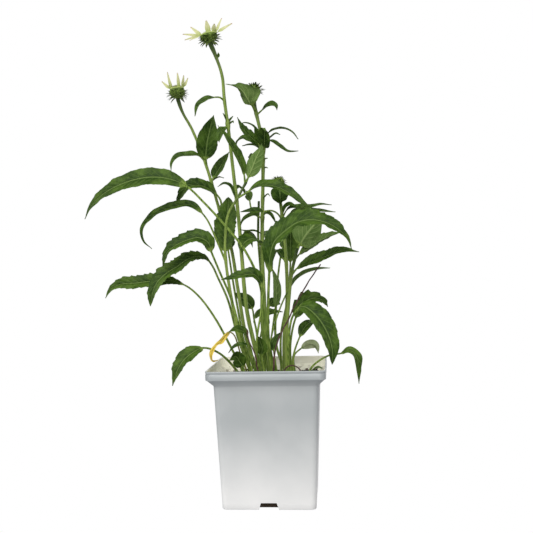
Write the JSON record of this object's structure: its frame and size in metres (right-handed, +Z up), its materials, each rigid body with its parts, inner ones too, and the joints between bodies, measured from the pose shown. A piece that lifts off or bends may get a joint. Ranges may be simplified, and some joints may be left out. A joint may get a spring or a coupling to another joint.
{
  "type": "purple coneflower plant",
  "caption": "Young coneflower plant in a square nursery pot, with spreading toothed leaves on slender stalks, pale half-open blooms above a ruff of bracts, and green spiky buds.",
  "frame": {"origin": "the middle of the pot's underside, on the surface that it stands on", "axes": "+Z up, +X to the right as seen from the pot's front, +Y to the back; the pot's sides are square to X and Y"},
  "size_m": [0.3587, 0.2359, 0.6388],
  "materials": {
    "pot_plastic": "smooth white moulded plastic, slightly worn and soil-stained inside",
    "soil": "dark crumbly potting mix with bark chips and white perlite",
    "stem": "light green ribbed stalk with short pale hairs",
    "leaf": "dull green leaf with paler sunken veins and a paler underside",
    "bract": "dark green pointed bracts, rough with hairs",
    "petal": "pale greenish cream, faintly pink at the notched tips",
    "disc": "green to rust-tipped florets",
    "dry_stalk": "thin dry brown-purple stalk",
    "withered": "withered yellow leaf"
  },
  "bodies": {
    "root": {"pot": "pot_plastic", "potting_soil": "soil", "flower_stem_tall": "stem", "flower_stem_left": "stem", "bud_stem_middle": "stem", "bud_stem_right": "stem", "cut_stalk": "stem", "leafy_shoot_left": "stem", "leafy_shoot_right": "stem", "basal_leaf_01": "leaf", "basal_leaf_02": "leaf", "basal_leaf_03": "leaf", "basal_leaf_04": "leaf", "basal_leaf_05": "leaf", "basal_leaf_06": "leaf", "basal_leaf_07": "leaf", "basal_leaf_08": "leaf", "basal_leaf_09": "leaf", "basal_leaf_10": "leaf", "basal_leaf_11": "leaf", "basal_leaf_12": "leaf", "basal_leaf_13": "leaf", "basal_leaf_14": "leaf", "basal_leaf_15": "leaf", "basal_leaf_16": "leaf", "basal_leaf_17": "leaf", "basal_leaf_18": "leaf", "basal_leaf_19": "leaf", "basal_leaf_20": "leaf", "basal_leaf_21": "leaf", "basal_leaf_22": "leaf", "basal_leaf_23": "leaf", "basal_leaf_24": "leaf", "basal_leaf_25": "leaf", "basal_leaf_26": "leaf", "basal_leaf_27": "leaf", "withered_leaf": "withered", "dead_stalk_right": "dry_stalk", "dead_stalk_left": "dry_stalk", "root_loop": "dry_stalk", "flower_head_tall": "bract", "petals_tall": "petal", "disc_tall": "disc", "flower_head_left": "bract", "petals_left": "petal", "disc_left": "disc", "bud_middle": "bract", "bud_right": "bract"}
  },
  "joints": []
}
